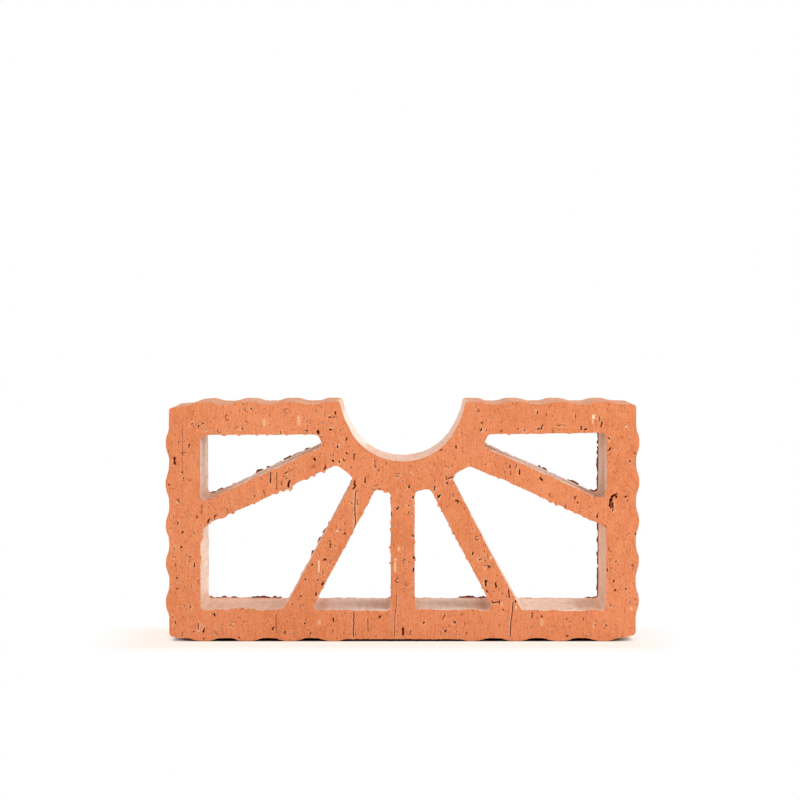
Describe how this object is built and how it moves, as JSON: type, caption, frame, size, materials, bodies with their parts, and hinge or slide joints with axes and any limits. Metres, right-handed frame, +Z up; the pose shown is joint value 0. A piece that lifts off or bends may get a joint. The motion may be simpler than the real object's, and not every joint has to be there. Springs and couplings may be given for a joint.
{
  "type": "breeze block",
  "caption": "Fired-clay screen-wall block with fan-shaped openings right through it, a half-round notch, and ridged beds and ends that key into mortar.",
  "frame": {"origin": "middle of the bottom bed, at the level of the ridge crests that the block stands on", "axes": "+X along the long side, +Y along the extrusion from the front cut face to the back one, +Z up"},
  "size_m": [0.3, 0.076, 0.152],
  "materials": {
    "terracotta": "unglazed, wire-cut"
  },
  "bodies": {
    "root": {"breeze_block": "terracotta"}
  },
  "joints": []
}
